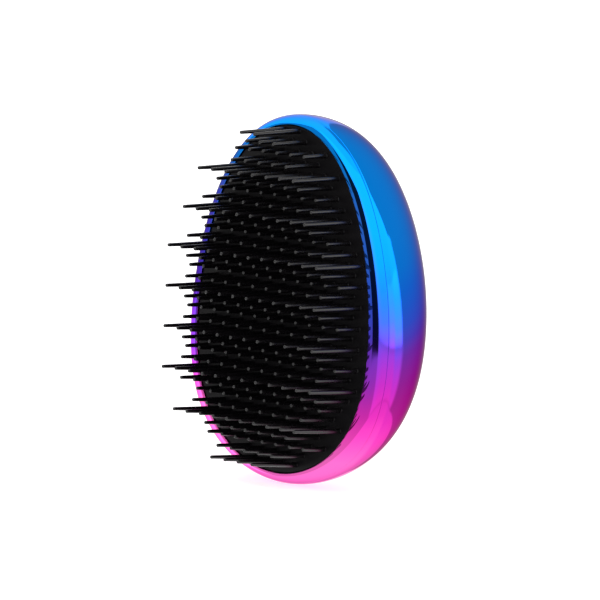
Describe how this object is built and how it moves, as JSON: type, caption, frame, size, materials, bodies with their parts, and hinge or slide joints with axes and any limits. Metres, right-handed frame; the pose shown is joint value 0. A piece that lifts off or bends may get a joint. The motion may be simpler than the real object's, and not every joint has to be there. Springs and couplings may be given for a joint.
{
  "type": "curry comb",
  "caption": "Palm-held curry comb for horses: an egg-shaped hollow plastic back carries a soft pad of staggered flexible teeth in three lengths.",
  "frame": {"origin": "bottom centre of the bounding box, under the broad heel", "axes": "+Z along the comb from the broad heel to the narrow crown, teeth point along -Y, the domed back faces +Y, +X to the side"},
  "size_m": [0.0792, 0.0488, 0.0966],
  "materials": {
    "shell": "vacuum-metallised ABS, mirror gloss, blue at the crown through violet to magenta at the heel",
    "pad": "black moulded elastomer, satin",
    "carrier": "black moulded ABS, matt"
  },
  "bodies": {
    "shell": {"back_cover": "shell", "front_bezel": "shell", "tooth_pad": "pad", "pad_carrier": "carrier"},
    "tooth_row_01": {"tooth_row_01": "pad"},
    "tooth_row_02": {"tooth_row_02": "pad"},
    "tooth_row_03": {"tooth_row_03": "pad"},
    "tooth_row_04": {"tooth_row_04": "pad"},
    "tooth_row_05": {"tooth_row_05": "pad"},
    "tooth_row_06": {"tooth_row_06": "pad"},
    "tooth_row_07": {"tooth_row_07": "pad"},
    "tooth_row_08": {"tooth_row_08": "pad"},
    "tooth_row_09": {"tooth_row_09": "pad"},
    "tooth_row_10": {"tooth_row_10": "pad"},
    "tooth_row_11": {"tooth_row_11": "pad"},
    "tooth_row_12": {"tooth_row_12": "pad"},
    "tooth_row_13": {"tooth_row_13": "pad"},
    "tooth_row_14": {"tooth_row_14": "pad"},
    "tooth_row_15": {"tooth_row_15": "pad"},
    "tooth_row_16": {"tooth_row_16": "pad"},
    "tooth_row_17": {"tooth_row_17": "pad"},
    "tooth_row_18": {"tooth_row_18": "pad"},
    "tooth_row_19": {"tooth_row_19": "pad"},
    "tooth_row_20": {"tooth_row_20": "pad"},
    "tooth_row_21": {"tooth_row_21": "pad"},
    "tooth_row_22": {"tooth_row_22": "pad"},
    "tooth_row_23": {"tooth_row_23": "pad"},
    "tooth_row_24": {"tooth_row_24": "pad"},
    "tooth_row_25": {"tooth_row_25": "pad"},
    "tooth_row_26": {"tooth_row_26": "pad"},
    "tooth_row_27": {"tooth_row_27": "pad"},
    "tooth_row_28": {"tooth_row_28": "pad"},
    "tooth_row_29": {"tooth_row_29": "pad"},
    "tooth_row_30": {"tooth_row_30": "pad"},
    "tooth_row_31": {"tooth_row_31": "pad"},
    "tooth_row_32": {"tooth_row_32": "pad"},
    "tooth_row_33": {"tooth_row_33": "pad"}
  },
  "joints": [
    {"name": "row_01_flex", "type": "hinge", "parent": "shell", "child": "tooth_row_01", "pos_m": [0, -0.009, 0.0925], "axis": [1, 0, 0], "range_deg": [-20, 20], "stiffness_Nm_per_rad": 0.00416},
    {"name": "row_02_flex", "type": "hinge", "parent": "shell", "child": "tooth_row_02", "pos_m": [0, -0.009, 0.0898], "axis": [1, 0, 0], "range_deg": [-20, 20], "stiffness_Nm_per_rad": 0.00865},
    {"name": "row_03_flex", "type": "hinge", "parent": "shell", "child": "tooth_row_03", "pos_m": [0, -0.009, 0.0871], "axis": [1, 0, 0], "range_deg": [-20, 20], "stiffness_Nm_per_rad": 0.0256},
    {"name": "row_04_flex", "type": "hinge", "parent": "shell", "child": "tooth_row_04", "pos_m": [0, -0.009, 0.0844], "axis": [1, 0, 0], "range_deg": [-20, 20], "stiffness_Nm_per_rad": 0.01441},
    {"name": "row_05_flex", "type": "hinge", "parent": "shell", "child": "tooth_row_05", "pos_m": [0, -0.009, 0.0817], "axis": [1, 0, 0], "range_deg": [-20, 20], "stiffness_Nm_per_rad": 0.01662},
    {"name": "row_06_flex", "type": "hinge", "parent": "shell", "child": "tooth_row_06", "pos_m": [0, -0.009, 0.079], "axis": [1, 0, 0], "range_deg": [-20, 20], "stiffness_Nm_per_rad": 0.02018},
    {"name": "row_07_flex", "type": "hinge", "parent": "shell", "child": "tooth_row_07", "pos_m": [0, -0.009, 0.0763], "axis": [1, 0, 0], "range_deg": [-20, 20], "stiffness_Nm_per_rad": 0.03413},
    {"name": "row_08_flex", "type": "hinge", "parent": "shell", "child": "tooth_row_08", "pos_m": [0, -0.009, 0.0736], "axis": [1, 0, 0], "range_deg": [-20, 20], "stiffness_Nm_per_rad": 0.02594},
    {"name": "row_09_flex", "type": "hinge", "parent": "shell", "child": "tooth_row_09", "pos_m": [0, -0.009, 0.0709], "axis": [1, 0, 0], "range_deg": [-20, 20], "stiffness_Nm_per_rad": 0.02078},
    {"name": "row_10_flex", "type": "hinge", "parent": "shell", "child": "tooth_row_10", "pos_m": [0, -0.009, 0.0682], "axis": [1, 0, 0], "range_deg": [-20, 20], "stiffness_Nm_per_rad": 0.02594},
    {"name": "row_11_flex", "type": "hinge", "parent": "shell", "child": "tooth_row_11", "pos_m": [0, -0.009, 0.0655], "axis": [1, 0, 0], "range_deg": [-20, 20], "stiffness_Nm_per_rad": 0.04266},
    {"name": "row_12_flex", "type": "hinge", "parent": "shell", "child": "tooth_row_12", "pos_m": [0, -0.009, 0.0628], "axis": [1, 0, 0], "range_deg": [-20, 20], "stiffness_Nm_per_rad": 0.03171},
    {"name": "row_13_flex", "type": "hinge", "parent": "shell", "child": "tooth_row_13", "pos_m": [0, -0.009, 0.0601], "axis": [1, 0, 0], "range_deg": [-20, 20], "stiffness_Nm_per_rad": 0.02493},
    {"name": "row_14_flex", "type": "hinge", "parent": "shell", "child": "tooth_row_14", "pos_m": [0, -0.009, 0.0574], "axis": [1, 0, 0], "range_deg": [-20, 20], "stiffness_Nm_per_rad": 0.03171},
    {"name": "row_15_flex", "type": "hinge", "parent": "shell", "child": "tooth_row_15", "pos_m": [0, -0.009, 0.0547], "axis": [1, 0, 0], "range_deg": [-20, 20], "stiffness_Nm_per_rad": 0.05119},
    {"name": "row_16_flex", "type": "hinge", "parent": "shell", "child": "tooth_row_16", "pos_m": [0, -0.009, 0.052], "axis": [1, 0, 0], "range_deg": [-20, 20], "stiffness_Nm_per_rad": 0.03171},
    {"name": "row_17_flex", "type": "hinge", "parent": "shell", "child": "tooth_row_17", "pos_m": [0, -0.009, 0.0493], "axis": [1, 0, 0], "range_deg": [-20, 20], "stiffness_Nm_per_rad": 0.02493},
    {"name": "row_18_flex", "type": "hinge", "parent": "shell", "child": "tooth_row_18", "pos_m": [0, -0.009, 0.0466], "axis": [1, 0, 0], "range_deg": [-20, 20], "stiffness_Nm_per_rad": 0.03171},
    {"name": "row_19_flex", "type": "hinge", "parent": "shell", "child": "tooth_row_19", "pos_m": [0, -0.009, 0.0439], "axis": [1, 0, 0], "range_deg": [-20, 20], "stiffness_Nm_per_rad": 0.05119},
    {"name": "row_20_flex", "type": "hinge", "parent": "shell", "child": "tooth_row_20", "pos_m": [0, -0.009, 0.0412], "axis": [1, 0, 0], "range_deg": [-20, 20], "stiffness_Nm_per_rad": 0.03171},
    {"name": "row_21_flex", "type": "hinge", "parent": "shell", "child": "tooth_row_21", "pos_m": [0, -0.009, 0.0385], "axis": [1, 0, 0], "range_deg": [-20, 20], "stiffness_Nm_per_rad": 0.02493},
    {"name": "row_22_flex", "type": "hinge", "parent": "shell", "child": "tooth_row_22", "pos_m": [0, -0.009, 0.0358], "axis": [1, 0, 0], "range_deg": [-20, 20], "stiffness_Nm_per_rad": 0.03171},
    {"name": "row_23_flex", "type": "hinge", "parent": "shell", "child": "tooth_row_23", "pos_m": [0, -0.009, 0.0331], "axis": [1, 0, 0], "range_deg": [-20, 20], "stiffness_Nm_per_rad": 0.05119},
    {"name": "row_24_flex", "type": "hinge", "parent": "shell", "child": "tooth_row_24", "pos_m": [0, -0.009, 0.0304], "axis": [1, 0, 0], "range_deg": [-20, 20], "stiffness_Nm_per_rad": 0.03171},
    {"name": "row_25_flex", "type": "hinge", "parent": "shell", "child": "tooth_row_25", "pos_m": [0, -0.009, 0.0277], "axis": [1, 0, 0], "range_deg": [-20, 20], "stiffness_Nm_per_rad": 0.02493},
    {"name": "row_26_flex", "type": "hinge", "parent": "shell", "child": "tooth_row_26", "pos_m": [0, -0.009, 0.025], "axis": [1, 0, 0], "range_deg": [-20, 20], "stiffness_Nm_per_rad": 0.03171},
    {"name": "row_27_flex", "type": "hinge", "parent": "shell", "child": "tooth_row_27", "pos_m": [0, -0.009, 0.0223], "axis": [1, 0, 0], "range_deg": [-20, 20], "stiffness_Nm_per_rad": 0.04266},
    {"name": "row_28_flex", "type": "hinge", "parent": "shell", "child": "tooth_row_28", "pos_m": [0, -0.009, 0.0196], "axis": [1, 0, 0], "range_deg": [-20, 20], "stiffness_Nm_per_rad": 0.02594},
    {"name": "row_29_flex", "type": "hinge", "parent": "shell", "child": "tooth_row_29", "pos_m": [0, -0.009, 0.0169], "axis": [1, 0, 0], "range_deg": [-20, 20], "stiffness_Nm_per_rad": 0.02078},
    {"name": "row_30_flex", "type": "hinge", "parent": "shell", "child": "tooth_row_30", "pos_m": [0, -0.009, 0.0142], "axis": [1, 0, 0], "range_deg": [-20, 20], "stiffness_Nm_per_rad": 0.02018},
    {"name": "row_31_flex", "type": "hinge", "parent": "shell", "child": "tooth_row_31", "pos_m": [0, -0.009, 0.0115], "axis": [1, 0, 0], "range_deg": [-20, 20], "stiffness_Nm_per_rad": 0.03413},
    {"name": "row_32_flex", "type": "hinge", "parent": "shell", "child": "tooth_row_32", "pos_m": [0, -0.009, 0.0088], "axis": [1, 0, 0], "range_deg": [-20, 20], "stiffness_Nm_per_rad": 0.01441},
    {"name": "row_33_flex", "type": "hinge", "parent": "shell", "child": "tooth_row_33", "pos_m": [0, -0.009, 0.0061], "axis": [1, 0, 0], "range_deg": [-20, 20], "stiffness_Nm_per_rad": 0.00831}
  ]
}
